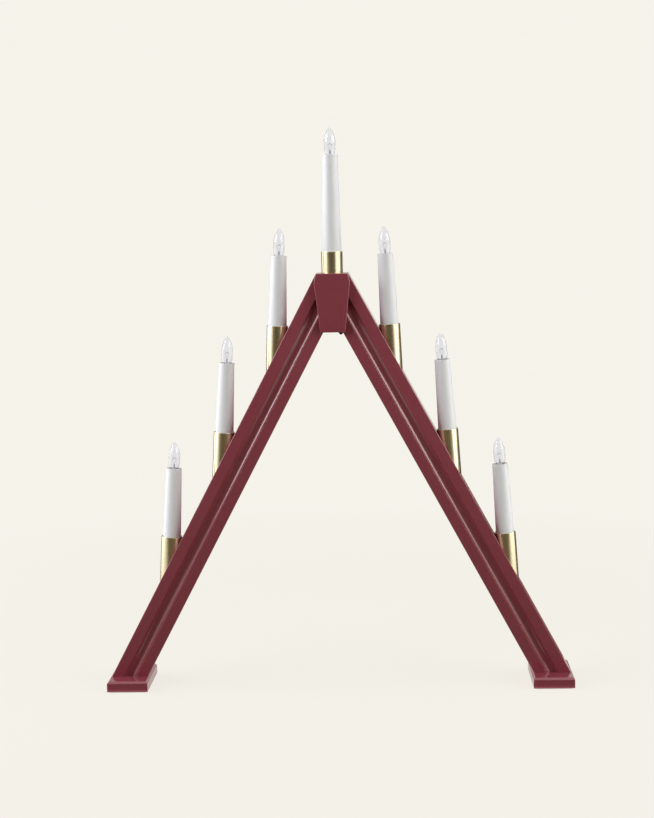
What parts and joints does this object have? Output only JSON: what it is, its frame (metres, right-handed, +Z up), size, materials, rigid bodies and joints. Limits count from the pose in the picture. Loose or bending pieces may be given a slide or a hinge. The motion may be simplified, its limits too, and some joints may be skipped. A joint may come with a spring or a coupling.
{
  "type": "advent candle holder",
  "caption": "Inverted V stand of painted wood on two wide feet, with electric candles in brass cups on its apex and down both legs.",
  "frame": {"origin": "on the surface it stands on, midway between the two feet and midway through their depth", "axes": "+Z up, +X to the right as seen from the front, front towards -Y"},
  "size_m": [0.4866, 0.07, 0.5796],
  "materials": {
    "paint": "satin dark red paint on planed wood",
    "felt": "pressed felt",
    "steel": "zinc-plated screw",
    "block": "moulded dark plastic",
    "lead": "dark flexible insulation",
    "cup": "polished and lacquered",
    "candle": "smooth white, soft gloss",
    "socket": "moulded off-white plastic",
    "contact": "dull solder on a dark insulator",
    "cap": "nickel-plated thread",
    "glass": "clear, thin blown glass"
  },
  "bodies": {
    "holder": {"cup_left_lower": "cup", "cup_left_middle": "cup", "cup_left_upper": "cup", "cup_top": "cup", "cup_right_upper": "cup", "cup_right_middle": "cup", "cup_right_lower": "cup", "leg_left": "paint", "leg_right": "paint", "apex_plate": "paint", "foot_left": "paint", "foot_right": "paint", "foot_pad_left": "felt", "foot_pad_right": "felt", "foot_screw_left": "steel", "foot_screw_right": "steel", "terminal_block": "block", "lead_feed": "lead", "lead_return": "lead", "lead_top_to_left_upper": "lead", "lead_top_to_right_upper": "lead", "lead_left_upper_to_middle": "lead", "lead_left_middle_to_lower": "lead", "lead_right_upper_to_middle": "lead", "lead_right_middle_to_lower": "lead"},
    "candle_left_lower": {"candle_sleeve_left_lower": "candle", "lamp_socket_left_lower": "socket"},
    "carriage_left_lower": {"lamp_contact_left_lower": "contact"},
    "lamp_left_lower": {"lamp_cap_left_lower": "cap", "lamp_glass_left_lower": "glass"},
    "candle_left_middle": {"candle_sleeve_left_middle": "candle", "lamp_socket_left_middle": "socket"},
    "carriage_left_middle": {"lamp_contact_left_middle": "contact"},
    "lamp_left_middle": {"lamp_cap_left_middle": "cap", "lamp_glass_left_middle": "glass"},
    "candle_left_upper": {"candle_sleeve_left_upper": "candle", "lamp_socket_left_upper": "socket"},
    "carriage_left_upper": {"lamp_contact_left_upper": "contact"},
    "lamp_left_upper": {"lamp_cap_left_upper": "cap", "lamp_glass_left_upper": "glass"},
    "candle_top": {"candle_sleeve_top": "candle", "lamp_socket_top": "socket"},
    "carriage_top": {"lamp_contact_top": "contact"},
    "lamp_top": {"lamp_cap_top": "cap", "lamp_glass_top": "glass"},
    "candle_right_upper": {"candle_sleeve_right_upper": "candle", "lamp_socket_right_upper": "socket"},
    "carriage_right_upper": {"lamp_contact_right_upper": "contact"},
    "lamp_right_upper": {"lamp_cap_right_upper": "cap", "lamp_glass_right_upper": "glass"},
    "candle_right_middle": {"candle_sleeve_right_middle": "candle", "lamp_socket_right_middle": "socket"},
    "carriage_right_middle": {"lamp_contact_right_middle": "contact"},
    "lamp_right_middle": {"lamp_cap_right_middle": "cap", "lamp_glass_right_middle": "glass"},
    "candle_right_lower": {"candle_sleeve_right_lower": "candle", "lamp_socket_right_lower": "socket"},
    "carriage_right_lower": {"lamp_contact_right_lower": "contact"},
    "lamp_right_lower": {"lamp_cap_right_lower": "cap", "lamp_glass_right_lower": "glass"}
  },
  "joints": [
    {"name": "lift_left_lower", "type": "slide", "parent": "holder", "child": "candle_left_lower", "axis": [0.0645, 0, 0.9979], "range_m": [0, 0.02]},
    {"name": "travel_left_lower", "type": "slide", "parent": "candle_left_lower", "child": "carriage_left_lower", "axis": [0.0645, 0, 0.9979], "range_m": [0, 0.0091]},
    {"name": "screw_left_lower", "type": "hinge", "parent": "carriage_left_lower", "child": "lamp_left_lower", "pos_m": [-0.17465, 0, 0.15946], "axis": [0.0645, 0, 0.9979], "range_deg": [0, 1800]},
    {"name": "lift_left_middle", "type": "slide", "parent": "holder", "child": "candle_left_middle", "axis": [0.0628, 0, 0.998], "range_m": [0, 0.02]},
    {"name": "travel_left_middle", "type": "slide", "parent": "candle_left_middle", "child": "carriage_left_middle", "axis": [0.0628, 0, 0.998], "range_m": [0, 0.0091]},
    {"name": "screw_left_middle", "type": "hinge", "parent": "carriage_left_middle", "child": "lamp_left_middle", "pos_m": [-0.11599, 0, 0.26914], "axis": [0.0628, 0, 0.998], "range_deg": [0, 1800]},
    {"name": "lift_left_upper", "type": "slide", "parent": "holder", "child": "candle_left_upper", "axis": [0.0436, 0, 0.999], "range_m": [0, 0.02]},
    {"name": "travel_left_upper", "type": "slide", "parent": "candle_left_upper", "child": "carriage_left_upper", "axis": [0.0436, 0, 0.999], "range_m": [0, 0.0091]},
    {"name": "screw_left_upper", "type": "hinge", "parent": "carriage_left_upper", "child": "lamp_left_upper", "pos_m": [-0.05778, 0, 0.37885], "axis": [0.0436, 0, 0.999], "range_deg": [0, 1800]},
    {"name": "lift_top", "type": "slide", "parent": "holder", "child": "candle_top", "axis": [0, 0, 1], "range_m": [0, 0.02]},
    {"name": "travel_top", "type": "slide", "parent": "candle_top", "child": "carriage_top", "axis": [0, 0, 1], "range_m": [0, 0.0091]},
    {"name": "screw_top", "type": "hinge", "parent": "carriage_top", "child": "lamp_top", "pos_m": [0, 0, 0.454], "axis": [0, 0, 1], "range_deg": [0, 1800]},
    {"name": "lift_right_upper", "type": "slide", "parent": "holder", "child": "candle_right_upper", "axis": [-0.0436, 0, 0.999], "range_m": [0, 0.02]},
    {"name": "travel_right_upper", "type": "slide", "parent": "candle_right_upper", "child": "carriage_right_upper", "axis": [-0.0436, 0, 0.999], "range_m": [0, 0.0091]},
    {"name": "screw_right_upper", "type": "hinge", "parent": "carriage_right_upper", "child": "lamp_right_upper", "pos_m": [0.05778, 0, 0.37885], "axis": [-0.0436, 0, 0.999], "range_deg": [0, 1800]},
    {"name": "lift_right_middle", "type": "slide", "parent": "holder", "child": "candle_right_middle", "axis": [-0.0628, 0, 0.998], "range_m": [0, 0.02]},
    {"name": "travel_right_middle", "type": "slide", "parent": "candle_right_middle", "child": "carriage_right_middle", "axis": [-0.0628, 0, 0.998], "range_m": [0, 0.0091]},
    {"name": "screw_right_middle", "type": "hinge", "parent": "carriage_right_middle", "child": "lamp_right_middle", "pos_m": [0.11599, 0, 0.26914], "axis": [-0.0628, 0, 0.998], "range_deg": [0, 1800]},
    {"name": "lift_right_lower", "type": "slide", "parent": "holder", "child": "candle_right_lower", "axis": [-0.0645, 0, 0.9979], "range_m": [0, 0.02]},
    {"name": "travel_right_lower", "type": "slide", "parent": "candle_right_lower", "child": "carriage_right_lower", "axis": [-0.0645, 0, 0.9979], "range_m": [0, 0.0091]},
    {"name": "screw_right_lower", "type": "hinge", "parent": "carriage_right_lower", "child": "lamp_right_lower", "pos_m": [0.17465, 0, 0.15946], "axis": [-0.0645, 0, 0.9979], "range_deg": [0, 1800]}
  ],
  "couplings": [
    {"joint": "travel_left_lower", "follows": "screw_left_lower", "m_per_rad": 0.00028871},
    {"joint": "travel_left_middle", "follows": "screw_left_middle", "m_per_rad": 0.00028871},
    {"joint": "travel_left_upper", "follows": "screw_left_upper", "m_per_rad": 0.00028871},
    {"joint": "travel_top", "follows": "screw_top", "m_per_rad": 0.00028871},
    {"joint": "travel_right_upper", "follows": "screw_right_upper", "m_per_rad": 0.00028871},
    {"joint": "travel_right_middle", "follows": "screw_right_middle", "m_per_rad": 0.00028871},
    {"joint": "travel_right_lower", "follows": "screw_right_lower", "m_per_rad": 0.00028871}
  ]
}
